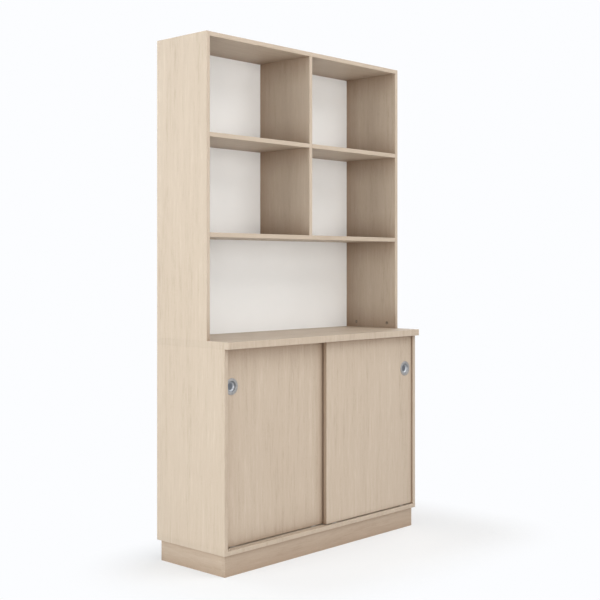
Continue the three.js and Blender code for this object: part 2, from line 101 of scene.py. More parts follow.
class NodeTree:
    """A node tree, with short calls for the nodes that the looks need."""

    def __init__(self, owner: bpy.types.Material | bpy.types.World, output: str) -> None:
        """Starts an empty tree.

        Args:
            owner: the material or world that it belongs to.
            output: Blender's name of its output node.
        """
        owner.use_nodes = True
        self.tree = owner.node_tree
        self.tree.nodes.clear()
        self.output = self.tree.nodes.new(output)

    def put(self, socket: Socket, value: Socket | float | tuple) -> None:
        """Links a socket, or sets its own value.

        Args:
            socket: the input to feed.
            value: another node's output, or a plain value.
        """
        if isinstance(value, bpy.types.NodeSocket):
            self.tree.links.new(value, socket)
        else:
            socket.default_value = value

    def math(self, operation: str, *values: Socket | float) -> Socket:
        """One Math node.

        Args:
            operation: Blender's name of the operation.
            values: its one to three inputs.

        Returns:
            The result.
        """
        node = self.tree.nodes.new("ShaderNodeMath")
        node.operation = operation
        for socket, value in zip(node.inputs, values):
            self.put(socket, value)
        return node.outputs[0]

    def add_share(self, base: Socket | float, value: Socket, share: float) -> Socket:
        """A share of a value, added to a base.

        Args:
            base: the base.
            value: the value.
            share: what the value is multiplied by.

        Returns:
            The sum.
        """
        return self.math("ADD", base, self.math("MULTIPLY", value, share))

    def vector(self, operation: str, *values: Socket | tuple) -> Socket:
        """One Vector Math node.

        Args:
            operation: Blender's name of the operation.
            values: its inputs.

        Returns:
            The resulting vector, or the value where the operation is a length.
        """
        node = self.tree.nodes.new("ShaderNodeVectorMath")
        node.operation = operation
        for socket, value in zip(node.inputs, values):
            self.put(socket, value)
        return node.outputs["Value" if operation == "LENGTH" else "Vector"]

    def split(self, vector: Socket) -> list[Socket]:
        """The three parts of a vector.

        Args:
            vector: the vector.

        Returns:
            Its X, Y and Z.
        """
        node = self.tree.nodes.new("ShaderNodeSeparateXYZ")
        self.put(node.inputs[0], vector)
        return list(node.outputs)

    def merge(self, *parts: Socket | float) -> Socket:
        """A vector of three parts.

        Args:
            parts: its X, Y and Z.

        Returns:
            The vector.
        """
        node = self.tree.nodes.new("ShaderNodeCombineXYZ")
        for socket, part in zip(node.inputs, parts):
            self.put(socket, part)
        return node.outputs[0]

    def noise(
        self,
        place: Socket,
        scale: float,
        detail: float = 2.0,
        roughness: float = 0.5,
    ) -> Socket:
        """One Noise Texture.

        Args:
            place: where it is read.
            scale: cells per unit of that place.
            detail: octaves.
            roughness: how much the finer octaves count.

        Returns:
            Its value, around 0.5.
        """
        node = self.tree.nodes.new("ShaderNodeTexNoise")
        self.put(node.inputs["Vector"], place)
        self.put(node.inputs["Scale"], scale)
        self.put(node.inputs["Detail"], detail)
        self.put(node.inputs["Roughness"], roughness)
        return node.outputs["Fac"]

    def remap(self, value: Socket, span: Span = CLOUD) -> Socket:
        """A value carried from one range to another, smoothly and held at the ends.

        Args:
            value: the value.
            span: the two ranges.

        Returns:
            The result.
        """
        node = self.tree.nodes.new("ShaderNodeMapRange")
        node.interpolation_type = "SMOOTHSTEP"
        parts = (value, span.low, span.high, span.to_low, span.to_high)
        for socket, part in zip(node.inputs, parts):
            self.put(socket, part)
        return node.outputs[0]

    def mix(
        self,
        share: Socket | float,
        first: Socket | Colour,
        second: Socket | Colour,
        way: str = "MIX",
    ) -> Socket:
        """Two colours mixed.

        Args:
            share: how much of the second.
            first: first colour.
            second: second colour.
            way: Blender's name of the blend.

        Returns:
            The mixed colour.
        """
        node = self.tree.nodes.new("ShaderNodeMix")
        node.data_type = "RGBA"
        node.blend_type = way
        self.put(node.inputs[0], share)
        for socket, colour in ((node.inputs[6], first), (node.inputs[7], second)):
            self.put(socket, (*colour, 1.0) if isinstance(colour, tuple) else colour)
        return node.outputs[2]

    def tint(self, colour: Socket, tint: Colour, share: float = 1.0) -> Socket:
        """A colour multiplied by a tint.

        Args:
            colour: the colour.
            tint: the tint.
            share: how much the tint counts.

        Returns:
            The tinted colour.
        """
        return self.mix(share, colour, tint, "MULTIPLY")

    def open_share(self, reach: float) -> Socket:
        """How open a place is to the space in front of it.

        Args:
            reach: distance in metres within which other surfaces close it in.

        Returns:
            1 in the open, less in corners and gaps.
        """
        node = self.tree.nodes.new("ShaderNodeAmbientOcclusion")
        node.samples = PAINTED_SHADE_SAMPLES
        self.put(node.inputs["Distance"], reach)
        return node.outputs["AO"]

    def bump(self, height: Socket, distance: float, strength: float) -> Socket:
        """The normal that a height gives.

        Args:
            height: height, where one unit is the distance.
            distance: real height of one unit, in metres.
            strength: how much it counts.

        Returns:
            The normal.
        """
        node = self.tree.nodes.new("ShaderNodeBump")
        self.put(node.inputs["Strength"], strength)
        self.put(node.inputs["Distance"], distance)
        self.put(node.inputs["Height"], height)
        return node.outputs[0]

    def plain_shader(self, kind: str, colour: Colour, strength: float | None = None) -> Socket:
        """One plain shader.

        Args:
            kind: Blender's name of the shader node.
            colour: its colour.
            strength: its strength, where it gives light.

        Returns:
            The shader.
        """
        node = self.tree.nodes.new(kind)
        self.put(node.inputs["Color"], (*colour, 1.0))
        if strength is not None:
            self.put(node.inputs["Strength"], strength)
        return node.outputs[0]

    def mix_shaders(self, share: Socket, first: Socket, second: Socket) -> Socket:
        """Two shaders mixed.

        Args:
            share: how much of the second.
            first: first shader.
            second: second shader.

        Returns:
            The mixed shader.
        """
        node = self.tree.nodes.new("ShaderNodeMixShader")
        for socket, value in zip(node.inputs, (share, first, second)):
            self.put(socket, value)
        return node.outputs[0]

    def seen(self) -> Socket:
        """Whether what is shaded is seen, and doesn't only give light.

        Returns:
            1 where the ray comes from the camera, a glossy surface or glass, else 0.
        """
        rays = self.tree.nodes.new("ShaderNodeLightPath").outputs
        straight = self.math("MAXIMUM", rays["Is Camera Ray"], rays["Is Glossy Ray"])
        return self.math("MAXIMUM", straight, rays["Is Transmission Ray"])


class Sheet(NodeTree):
    """The node tree of one material."""

    def __init__(self, name: str) -> None:
        """Starts an empty material.

        Args:
            name: name of the material.
        """
        self.material = bpy.data.materials.new(name)
        super().__init__(self.material, "ShaderNodeOutputMaterial")
        self.place = self.tree.nodes.new("ShaderNodeTexCoord").outputs["Object"]

    def shade(self, colour: Socket, roughness: Socket, **settings: Socket | float) -> None:
        """Ends the tree in one Principled shader.

        Args:
            colour: base colour.
            roughness: roughness.
            settings: further inputs, named with underscores for blanks.
        """
        shader = self.tree.nodes.new("ShaderNodeBsdfPrincipled")
        self.put(shader.inputs["Base Color"], colour)
        self.put(shader.inputs["Roughness"], roughness)
        for name, value in settings.items():
            self.put(shader.inputs[name.replace("_", " ")], value)
        self.tree.links.new(shader.outputs[0], self.output.inputs["Surface"])


def grain_place(sheet: Sheet, grain: Axis, shift: Point) -> Socket:
    """Where a grain pattern is read: the grain runs along the third part.

    Args:
        sheet: the material.
        grain: axis that the grain runs along.
        shift: offset in metres that gives a board its own stretch of pattern.

    Returns:
        The place.
    """
    parts = sheet.split(sheet.vector("ADD", sheet.place, shift))
    across = [part for at, part in enumerate(parts) if at != grain.value]
    return sheet.merge(*across, parts[grain.value])


def edge_distance(sheet: Sheet, low: Vector, high: Vector) -> Socket:
    """Distance from the nearest edge of a box, on the box's own faces.

    Args:
        sheet: the material.
        low: lowest corner of the box.
        high: highest corner of the box.

    Returns:
        The distance in metres.
    """
    spans = []
    for at, part in enumerate(sheet.split(sheet.place)):
        from_low = sheet.math("SUBTRACT", part, low[at])
        from_high = sheet.math("SUBTRACT", high[at], part)
        spans.append(sheet.math("MINIMUM", from_low, from_high))
    lesser = sheet.math("MINIMUM", spans[0], spans[1])
    greater = sheet.math("MAXIMUM", spans[0], spans[1])
    return sheet.math("MAXIMUM", lesser, sheet.math("MINIMUM", greater, spans[2]))


@dataclass(frozen=True)
class Board:
    """How one board is cut and banded.

    Attributes:
        grain: axis that the grain of its faces runs along.
        bands: its banded edges.
        band_grain: axis that the grain of the banding runs along, where it isn't that of the faces.
        matched: True where the figure runs on from one board to the next: that of the faces, or that of
            the banding where it has a grain of its own.
        painted_shade: how much painted shade darkens its corners and gaps, from 0 to 1.
    """

    grain: Axis
    bands: tuple[Edge, ...] = ()
    band_grain: Axis | None = None
    matched: bool = False
    painted_shade: float = 1.0


@dataclass(frozen=True)
class Layer:
    """One noise of the printed figure, drawn out along the grain.

    Attributes:
        across: cells per metre across the grain.
        along: cells per metre along it.
        detail: octaves.
        roughness: how much the finer octaves count.
        weight: how much it counts in the tone.
    """

    across: float
    along: float
    detail: float = 1.0
    roughness: float = 0.5
    weight: float = 0.55

    def draw(self, sheet: Sheet, place: Socket) -> Socket:
        """The noise at a place along the grain, around 0.5."""
        drawn = sheet.vector("MULTIPLY", place, (self.across, self.across, self.along))
        return sheet.noise(drawn, 1.0, self.detail, self.roughness)


@dataclass(frozen=True)
class OakMelamine:
    """Board faced with printed pale oak under clear melamine, banded with plastic where edges show."""

    light: Colour = (0.522, 0.437, 0.350)
    middle: Colour = (0.472, 0.386, 0.301)
    dark: Colour = (0.398, 0.316, 0.238)
    pore: Colour = (0.310, 0.230, 0.161)
    band_tint: Colour = (0.965, 0.965, 0.965)
    joint_tint: Colour = (0.62, 0.56, 0.50)
    wear_tint: Colour = (1.03, 1.035, 1.04)
    seed_step: Point = (0.37, 0.53, 1.91)
    matched_shift: Point = (4.07, 5.83, 21.01)
    # Painted shade: how far the AO node looks for near surfaces, and the warm tint that darkens
    # corners, gaps and the space under overhangs.
    painted_shade_reach: float = 0.13
    painted_shade_tint: Colour = (0.42, 0.28, 0.18)
    band_thickness: float = 1.0 * MM
    joint_width: float = 0.16 * MM
    wear_reach: float = 1.8 * MM
    wear_scale: float = 38.0
    wear_span: Span = Span(0.38, 0.62, 0.15, 1.0)
    wander: Layer = Layer(3.0, 0.9)
    wander_reach: float = 0.05
    band: Layer = Layer(13.0, 0.75, detail=2.0, weight=0.45)
    streak: Layer = Layer(58.0, 3.0, detail=3.0)
    dash: Layer = Layer(130.0, 14.0, detail=2.0)
    fibre: Layer = Layer(420.0, 16.0, detail=3.0, roughness=0.65)
    pore_layer: Layer = Layer(1500.0, 85.0)
    dark_span: Span = Span(0.69, 1.05)
    light_span: Span = Span(1.05, 1.41)
    pore_span: Span = Span(0.60, 0.72)
    fleck_span: Span = Span(0.35, 0.6, 0.55, 0.05)
    roughness: float = 0.43
    smear_scale: float = 7.0
    smear_roughness: float = 0.16
    pore_roughness: float = 0.10
    pore_depth: float = 0.04 * MM
    relief: float = 0.35
    gloss: float = 0.42

    def figure(self, sheet: Sheet, place: Socket) -> tuple[Socket, Socket]:
        """The printed figure: broad bands, streaks, fibres and pores.

        Args:
            sheet: the material.
            place: place along the grain, as grain_place gives it.

        Returns:
            The colour, and the depth of the pores from 0 to 1.
        """
        wander = self.wander.draw(sheet, place)
        bend = sheet.math("MULTIPLY", sheet.math("SUBTRACT", wander, 0.5), self.wander_reach)
        bent = sheet.vector("ADD", place, sheet.merge(bend, bend, 0.0))
        streak = self.streak.draw(sheet, bent)
        tone = sheet.math("MULTIPLY", self.band.draw(sheet, bent), self.band.weight)
        tone = sheet.add_share(tone, streak, self.streak.weight)
        for layer in (self.dash, self.fibre):
            tone = sheet.add_share(tone, layer.draw(sheet, bent), layer.weight)
        middle = sheet.mix(sheet.remap(tone, self.dark_span), self.dark, self.middle)
        colour = sheet.mix(sheet.remap(tone, self.light_span), middle, self.light)
        pores = sheet.remap(self.pore_layer.draw(sheet, bent), self.pore_span)
        fleck = sheet.math("MULTIPLY", pores, sheet.remap(streak, self.fleck_span))
        return sheet.mix(fleck, colour, self.pore), pores

    def dress(self, node: str, board: Board, seed: int) -> bpy.types.Material:
        """Makes the material of one board.

        Args:
            node: the board's CAD node.
            board: how its grain and its banding run.
            seed: number that gives the board its own stretch of pattern.

        Returns:
            The material.
        """
        low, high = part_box(node)
        sheet = Sheet(f"oak_{node}")
        shift = tuple(seed * step for step in self.seed_step)
        if board.matched and board.band_grain is None:
            shift = self.matched_shift
        colour, pores = self.figure(sheet, grain_place(sheet, board.grain, shift))
        band_colour = colour
        if board.band_grain is not None:
            band_shift = self.matched_shift if board.matched else shift
            band_colour, _ = self.figure(sheet, grain_place(sheet, board.band_grain, band_shift))
        parts = sheet.split(sheet.place)
        for edge in board.bands:
            at, side = edge.value
            ends = (parts[at], low[at]) if side < 0 else (high[at], parts[at])
            depth = sheet.math("SUBTRACT", *ends)
            inside = sheet.math("LESS_THAN", depth, self.band_thickness)
            colour = sheet.mix(inside, colour, sheet.tint(band_colour, self.band_tint))
            offset = sheet.math("ABSOLUTE", sheet.math("SUBTRACT", depth, self.band_thickness))
            joint = sheet.math("LESS_THAN", offset, self.joint_width / 2)
            colour = sheet.mix(joint, colour, sheet.tint(colour, self.joint_tint))
        near = sheet.remap(edge_distance(sheet, low, high), Span(0.0, self.wear_reach, 1.0, 0.0))
        patchy = sheet.remap(sheet.noise(sheet.place, self.wear_scale, FINE), self.wear_span)
        worn = sheet.math("MULTIPLY", near, patchy)
        colour = sheet.mix(worn, colour, sheet.tint(colour, self.wear_tint))
        # Painted shade: where the AO node finds other surfaces near, in corners, gaps and under
        # overhangs, the colour is darkened with a warm tint.
        closed = sheet.tint(colour, self.painted_shade_tint, board.painted_shade)
        colour = sheet.mix(sheet.open_share(self.painted_shade_reach), closed, colour)
        smear = sheet.noise(sheet.place, self.smear_scale, FINE, roughness=0.55)
        roughness = sheet.add_share(self.roughness, smear, self.smear_roughness)
        roughness = sheet.add_share(roughness, pores, self.pore_roughness)
        normal = sheet.bump(sheet.math("MULTIPLY", pores, -1.0), self.pore_depth, self.relief)
        sheet.shade(colour, roughness, Normal=normal, Specular_IOR_Level=self.gloss)
        return sheet.material


@dataclass(frozen=True)
class LacqueredBoard:
    """Thin white lacquered hardboard, with the brown core showing at its cut edges."""

    face: Colour = (0.935, 0.943, 0.938)
    shade: Colour = (0.906, 0.913, 0.907)
    core: Colour = (0.360, 0.245, 0.160)
    core_light: Colour = (0.540, 0.3675, 0.240)
    lacquer_thickness: float = 0.25 * MM
    cloud_scale: float = 2.4
    felt_scale: float = 900.0
    peel_scale: float = 260.0
    peel_depth: float = 0.05 * MM
    relief: float = 0.5
    sheen_scale: float = 9.0
    sheen_span: Span = Span(0.3, 0.7, 0.38, 0.52)
    gloss: float = 0.45

    def dress(self, node: str) -> bpy.types.Material:
        """Makes the material of one back panel.

        Args:
            node: the panel's CAD node.

        Returns:
            The material.
        """
        low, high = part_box(node)
        sheet = Sheet(f"lacquer_{node}")
        cloud = sheet.noise(sheet.place, self.cloud_scale, FINE)
        colour = sheet.mix(sheet.remap(cloud), self.face, self.shade)
        parts = sheet.split(sheet.place)
        from_front = sheet.math("SUBTRACT", parts[1], low[1])
        from_rear = sheet.math("SUBTRACT", high[1], parts[1])
        inner = sheet.math("MINIMUM", from_front, from_rear)
        cut = sheet.math("GREATER_THAN", inner, self.lacquer_thickness)
        felt = sheet.noise(sheet.place, self.felt_scale)
        colour = sheet.mix(cut, colour, sheet.mix(felt, self.core, self.core_light))
        peel = sheet.bump(sheet.noise(sheet.place, self.peel_scale), self.peel_depth, self.relief)
        sheen = sheet.noise(sheet.place, self.sheen_scale, FINE)
        roughness = sheet.remap(sheen, self.sheen_span)
        sheet.shade(colour, roughness, Normal=peel, Specular_IOR_Level=self.gloss)
        return sheet.material


@dataclass(frozen=True)
class Metal:
    """A bare or plated metal: its tone, how it is brushed or cast, and how it has dulled."""

    name: str
    bright: Colour
    dull: Colour
    roughness: float
    grit_depth: float
    grit_scale: float
    grit_roughness: float = 0.1
    relief: float = 0.5
    cloud_scale: float = 140.0

    def dress(self) -> bpy.types.Material:
        """Makes the material.

        Returns:
            The material.
        """
        sheet = Sheet(self.name)
        cloud = sheet.noise(sheet.place, self.cloud_scale, FINE)
        colour = sheet.mix(sheet.remap(cloud), self.bright, self.dull)
        grit = sheet.noise(sheet.place, self.grit_scale, FINE, roughness=0.6)
        smoothest = self.roughness - self.grit_roughness / 2
        roughness = sheet.add_share(smoothest, grit, self.grit_roughness)
        normal = sheet.bump(grit, self.grit_depth, self.relief)
        sheet.shade(colour, roughness, Metallic=1.0, Normal=normal)
        return sheet.material


@dataclass(frozen=True)
class TurnedAluminium:
    """Satin aluminium with the fine rings that turning leaves, painted shade in the cup's bottom."""

    # Painted shade and highlight: the bottom's dark, bluish tone stands in for the shade in the cup,
    # and the wall's lighter tone for the light that it catches; the rim has the metal's own tone.
    rim: Colour = (0.360, 0.352, 0.345)
    wall: Colour = (0.410, 0.420, 0.435)
    bottom: Colour = (0.165, 0.175, 0.195)
    dull_tint: Colour = (0.82, 0.82, 0.82)
    rim_roughness: float = 0.36
    wall_roughness: float = 0.42
    bottom_roughness: float = 0.50
    wall_start: float = 10.0 * MM
    wall_full: float = 19.0 * MM
    ring_pitch: float = 0.35 * MM
    ring_scale: float = 900.0
    ring_depth: float = 0.012 * MM
    ring_roughness: float = 0.12
    ring_span: Span = Span(0.5, 0.7, 0.0, 0.6)
    relief: float = 0.6
    wear_scale: float = 120.0
    blend: float = 0.5 * MM

    def dress(self, name: str, centre: Vector, cup_radius: float) -> bpy.types.Material:
        """Makes the material of one pull.

        Args:
            name: name of the material.
            centre: a point on the pull's axis, which runs along Y.
            cup_radius: radius of the cup, where the rim starts.

        Returns:
            The material.
        """
        sheet = Sheet(name)
        arm = sheet.vector("SUBTRACT", sheet.place, tuple(centre))
        parts = sheet.split(arm)
        reach = sheet.vector("LENGTH", sheet.merge(parts[0], 0.0, parts[2]))
        turns = sheet.math("MULTIPLY", reach, 1.0 / self.ring_pitch)
        along = sheet.math("MULTIPLY", parts[1], self.ring_scale)
        ring = sheet.noise(sheet.merge(turns, along, 0.0), 1.0, FINE, roughness=0.6)
        worn = sheet.remap(sheet.noise(sheet.place, self.wear_scale, FINE))
        worn = sheet.math("MAXIMUM", worn, sheet.remap(ring, self.ring_span))
        on_wall = sheet.remap(reach, Span(self.wall_start, self.wall_full))
        on_rim = sheet.remap(reach, Span(cup_radius - self.blend, cup_radius + self.blend))
        # Painted shade and highlight: the colour runs from the dark bottom to the lighter wall, then to
        # the rim's own tone.
        colour = sheet.mix(on_rim, sheet.mix(on_wall, self.bottom, self.wall), self.rim)
        colour = sheet.mix(worn, colour, sheet.tint(colour, self.dull_tint))
        roughness = sheet.add_share(self.bottom_roughness, ring, self.ring_roughness)
        roughness = sheet.add_share(roughness, on_wall, self.wall_roughness - self.bottom_roughness)
        roughness = sheet.add_share(roughness, on_rim, self.rim_roughness - self.wall_roughness)
        rings = sheet.bump(ring, self.ring_depth, self.relief)
        sheet.shade(colour, roughness, Metallic=1.0, Normal=rings)
        return sheet.material


@dataclass(frozen=True)
class MouldedPlastic:
    """A moulded or extruded plastic with a fine mould texture."""

    name: str
    tone: Colour
    roughness: float
    texture_scale: float = 1400.0
    texture_depth: float = 0.03 * MM
    texture_roughness: float = 0.1
    relief: float = 0.4
    cloud_scale: float = 45.0
    cloud_shade: float = 0.90
    gloss: float = 0.4

    def dress(self) -> bpy.types.Material:
        """Makes the material.

        Returns:
            The material.
        """
        sheet = Sheet(self.name)
        darker = tuple(self.cloud_shade * part for part in self.tone)
        cloud = sheet.noise(sheet.place, self.cloud_scale, FINE)
        colour = sheet.mix(sheet.remap(cloud), self.tone, darker)
        texture = sheet.noise(sheet.place, self.texture_scale)
        smoothest = self.roughness - self.texture_roughness / 2
        roughness = sheet.add_share(smoothest, texture, self.texture_roughness)
        normal = sheet.bump(texture, self.texture_depth, self.relief)
        sheet.shade(colour, roughness, Normal=normal, Specular_IOR_Level=self.gloss)
        return sheet.material


ZINC = Metal(
    "zinc_cast",
    bright=(0.330, 0.270, 0.215),
    dull=(0.220, 0.180, 0.142),
    roughness=0.50,
    grit_depth=0.03 * MM,
    grit_scale=900.0,
)
PLATED_STEEL = Metal(
    "steel_plated",
    bright=(0.610, 0.615, 0.620),
    dull=(0.470, 0.475, 0.480),
    roughness=0.28,
    grit_depth=0.01 * MM,
    grit_scale=1600.0,
)
TRACK_PLASTIC = MouldedPlastic("track_plastic", (0.560, 0.455, 0.345), roughness=0.46)
HOUSING_PLASTIC = MouldedPlastic("housing_plastic", (0.235, 0.240, 0.250), roughness=0.50)
WHEEL_NYLON = MouldedPlastic("wheel_nylon", (0.770, 0.760, 0.730), roughness=0.40, gloss=0.5)


def set_material(piece: bpy.types.Object, material: bpy.types.Material) -> None:
    """Gives every face of a piece one material.

    Args:
        piece: the piece, new or a CAD node.
        material: its material.
    """
    if piece.material_slots:
        for place in piece.material_slots:
            place.material = material
    else:
        piece.data.materials.append(material)


def new_piece(name: str, mesh: bmesh.types.BMesh, material: bpy.types.Material) -> bpy.types.Object:
    """Makes a piece of a mesh whose places are already in the frame.

    Args:
        name: name of the piece.
        mesh: its mesh, freed here.
        material: its material.

    Returns:
        The piece.
    """
    data = bpy.data.meshes.new(name)
    mesh.normal_update()
    mesh.to_mesh(data)
    mesh.free()
    piece = bpy.data.objects.new(name, data)
    bpy.context.scene.collection.objects.link(piece)
    set_material(piece, material)
    return piece


def smooth_but_sharp(mesh: bmesh.types.BMesh) -> None:
    """Shades a mesh smooth, apart from its sharp edges.

    Args:
        mesh: the mesh.
    """
    mesh.normal_update()
    for face in mesh.faces:
        face.smooth = True
    for edge in mesh.edges:
        edge.smooth = len(edge.link_faces) == 2 and edge.calc_face_angle(0.0) < SHARP


def turned_mesh(profile: Pairs, facets: int, along: Axis, flip: bool = False) -> bmesh.types.BMesh:
    """Turns a profile about an axis through the origin.

    Args:
        profile: pairs of radius and place along the axis, in metres, from one end to the other.
        facets: number of steps round the axis.
        along: the axis.
        flip: turns the form end for end.

    Returns:
        The closed mesh.
    """
    mesh = bmesh.new()
    sign = -1.0 if flip else 1.0
    first, second = [at for at in range(3) if at != along.value]
    rings = []
    for radius, rise in profile:
        ring = []
        for step in range(facets if radius > 0 else 1):
            angle = 2 * math.pi * step / facets
            place = [0.0, 0.0, 0.0]
            place[first] = radius * math.cos(angle)
            place[second] = radius * math.sin(angle)
            place[along.value] = sign * rise
            ring.append(mesh.verts.new(place))
        rings.append(ring)
    for lower, upper in zip(rings, rings[1:]):
        for step in range(facets):
            after = (step + 1) % facets
            corners = [lower[step % len(lower)], lower[after % len(lower)]]
            corners += [upper[after % len(upper)], upper[step % len(upper)]]
            unique = list(dict.fromkeys(corners))
            if len(unique) > 2:
                mesh.faces.new(unique)
    bmesh.ops.recalc_face_normals(mesh, faces=mesh.faces)
    smooth_but_sharp(mesh)
    return mesh


def arc(centre: tuple[float, float], radius: float, start: float, turn: float, steps: int) -> Pairs:
    """Points on an arc.

    Args:
        centre: its centre.
        radius: its radius.
        start: angle of its first point, in radians.
        turn: angle that it turns through, in radians.
        steps: number of steps.

    Returns:
        The points.
    """
    angles = [start + turn * step / steps for step in range(steps + 1)]
    return [(centre[0] + radius * math.cos(a), centre[1] + radius * math.sin(a)) for a in angles]


def middle_of(node: str) -> Vector:
    """The middle of a CAD node's box."""
    low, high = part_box(node)
    return (low + high) / 2


@dataclass
class BoardWork:
    """The boards of one sub-assembly: which node has which grain and which banded edges."""

    boards: dict[str, Board]
    first_seed: int

    def dress(self) -> None:
        """Gives each board its own material."""
        finish = OakMelamine()
        for at, (node, board) in enumerate(self.boards.items()):
            set_material(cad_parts[node], finish.dress(node, board, self.first_seed + at))
            log.info("board %s, grain along %s", node, board.grain.name)


@dataclass
class Plinth:
    """The recessed plinth frame of four boards."""

    first_seed: int = 1

    def build(self) -> None:
        """Dresses the four boards."""
        level = Board(Axis.X, (Edge.LEFT, Edge.RIGHT), Axis.Y)
        BoardWork({
            "plinth_front": level,
            "plinth_rear": level,
            "plinth_left": Board(Axis.Y),
            "plinth_right": Board(Axis.Y),
        }, self.first_seed).dress()


@dataclass
class Cabinet:
    """The low cabinet: bottom, sides, partition, countertop, loose shelves and tracks."""

    first_seed: int = 11
    lanes: tuple[str, ...] = ("front", "rear")

    def build(self) -> None:
        """Dresses the cabinet's nodes."""
        ends = (Edge.FRONT, Edge.LEFT, Edge.RIGHT)
        side = Board(Axis.Z, (Edge.FRONT,), matched=True)
        shelf = Board(Axis.X, (Edge.FRONT,))
        BoardWork({
            # The bottom and the countertop get less painted shade in their corners than the other
            # boards.
            "lower_bottom": Board(Axis.X, ends, Axis.Z, matched=True, painted_shade=0.15),
            "lower_side_left": side,
            "lower_side_right": side,
            "lower_partition": Board(Axis.Z, (Edge.FRONT,)),
            "countertop": Board(Axis.X, ends, Axis.Z, matched=True, painted_shade=0.3),
            "loose_shelf_left": shelf,
            "loose_shelf_right": shelf,
        }, self.first_seed).dress()
        material = TRACK_PLASTIC.dress()
        for level in ("lower", "upper"):
            for lane in self.lanes:
                set_material(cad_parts[f"{level}_track_{lane}"], material)
        log.info("cabinet and tracks dressed")


@dataclass
class Hutch:
    """The open hutch: sides, top, shelves and divider."""

    first_seed: int = 31

    def build(self) -> None:
        """Dresses the hutch's nodes."""
        shelf = Board(Axis.X, (Edge.FRONT,))
        side = Board(Axis.Z, (Edge.FRONT,), matched=True)
        BoardWork({
            "hutch_side_left": side,
            "hutch_side_right": side,
            "hutch_top": shelf,
            "hutch_long_shelf": shelf,
            "hutch_divider": Board(Axis.Z, (Edge.FRONT,)),
            "hutch_cell_shelf_left": shelf,
            "hutch_cell_shelf_right": shelf,
        }, self.first_seed).dress()
        log.info("hutch dressed")


@dataclass
class ShelfPins:
    """Flanged steel pins that carry the loose shelves."""

    radius: float = 2.5 * MM
    collar_radius: float = 3.6 * MM
    collar_thickness: float = 1.0 * MM
    shank: float = 7.5 * MM
    reach: float = 7.0 * MM
    tip_chamfer: float = 0.6 * MM
    rear_chamfer: float = 0.2 * MM
    front_chamfer: float = 0.3 * MM
    facets: int = 32

    def profile(self) -> Pairs:
        """The pin's outline; zero along it is the board's face.

        Returns:
            Pairs of radius and place along X, from the end in the board to the end under the shelf.
        """
        tip = self.radius - self.tip_chamfer
        return [
            (0.0, -self.shank),
            (tip, -self.shank),
            (self.radius, self.tip_chamfer - self.shank),
            (self.radius, 0.0),
            (self.collar_radius - self.rear_chamfer, 0.0),
            (self.collar_radius, self.rear_chamfer),
            (self.collar_radius, self.collar_thickness - self.front_chamfer),
            (self.collar_radius - self.front_chamfer, self.collar_thickness),
            (self.radius, self.collar_thickness),
            (self.radius, self.reach - self.tip_chamfer),
            (tip, self.reach),
            (0.0, self.reach),
        ]

    def build(self) -> None:
        """Replaces the eight pins."""
        material = PLATED_STEEL.dress()
        for place in ("left", "right"):
            for end in ("a", "b"):
                for row in (1, 2):
                    node = f"shelf_pin_{place}_{end}{row}"
                    low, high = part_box(node)
                    middle = (low + high) / 2
                    face = low.x + self.shank if end == "a" else high.x - self.shank
                    mesh = turned_mesh(self.profile(), self.facets, Axis.X, flip=end == "b")
                    bmesh.ops.translate(mesh, verts=mesh.verts, vec=(face, middle.y, middle.z))
                    piece = new_piece(f"pin_{place}_{end}{row}", mesh, material)
                    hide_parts(node)
                    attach(piece, "cabinet")
        log.info("eight shelf pins built")


@dataclass
class CamFittings:
    """The cams in the lower ends of the hutch sides, and the bolts that they pull on."""

    radius: float = 7.5 * MM
    depth: float = 12.5 * MM
    rim_chamfer: float = 0.35 * MM
    slot_width: float = 1.7 * MM
    slot_length: float = 9.0 * MM
    slot_depth: float = 2.4 * MM
    floor_length_share: float = 0.7
    mouth_width_share: float = 1.1
    floor_width_share: float = 0.8
    overrun: float = 0.5 * MM
    facets: int = 48

    def drum(self, hand: int) -> bmesh.types.BMesh:
        """A drum whose face lies in the plane X = 0 and looks into the bay.

        Args:
            hand: -1 for the left side of the hutch, 1 for the right side.

        Returns:
            The mesh.
        """
        profile = [
            (0.0, 0.0),
            (self.radius - self.rim_chamfer, 0.0),
            (self.radius, self.rim_chamfer),
            (self.radius, self.depth),
            (0.0, self.depth),
        ]
        return turned_mesh(profile, self.facets, Axis.X, flip=hand < 0)

    def cross(self, hand: int) -> bmesh.types.BMesh:
        """The cutter for the cross recess, tapered towards its bottom.

        Args:
            hand: -1 for the left side of the hutch, 1 for the right side.

        Returns:
            The mesh.
        """
        mesh = bmesh.new()
        for turn in (0.0, math.pi / 2):
            made = bmesh.ops.create_cube(mesh, size=1.0)["verts"]
            for vert in made:
                deep = vert.co.x > 0
                length_share = self.floor_length_share if deep else 1.0
                width_share = self.floor_width_share if deep else self.mouth_width_share
                vert.co.y *= self.slot_length * length_share
                vert.co.z *= self.slot_width * width_share
                vert.co.x = hand * (self.slot_depth if deep else -self.overrun)
            bmesh.ops.rotate(mesh, verts=made, matrix=Matrix.Rotation(turn, 3, "X"))
        bmesh.ops.recalc_face_normals(mesh, faces=mesh.faces)
        return mesh

    def build(self) -> None:
        """Replaces the four cams and dresses the four bolts."""
        zinc, steel = ZINC.dress(), PLATED_STEEL.dress()
        for place, hand in (("left", -1), ("right", 1)):
            for row in (1, 2):
                node = f"cam_{place}_{row}"
                low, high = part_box(node)
                face = high.x if hand < 0 else low.x
                centre = Vector((face, (low.y + high.y) / 2, (low.z + high.z) / 2))
                drum = new_piece(f"cam_drum_{place}_{row}", self.drum(hand), zinc)
                cutter = new_piece(f"cam_cross_{place}_{row}", self.cross(hand), zinc)
                cut_away(drum, cutter)
                drum.data.transform(Matrix.Translation(centre))
                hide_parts(node)
                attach(drum, "cabinet")
                set_material(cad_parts[f"cam_bolt_{place}_{row}"], steel)
        log.info("four cams built and their bolts dressed")


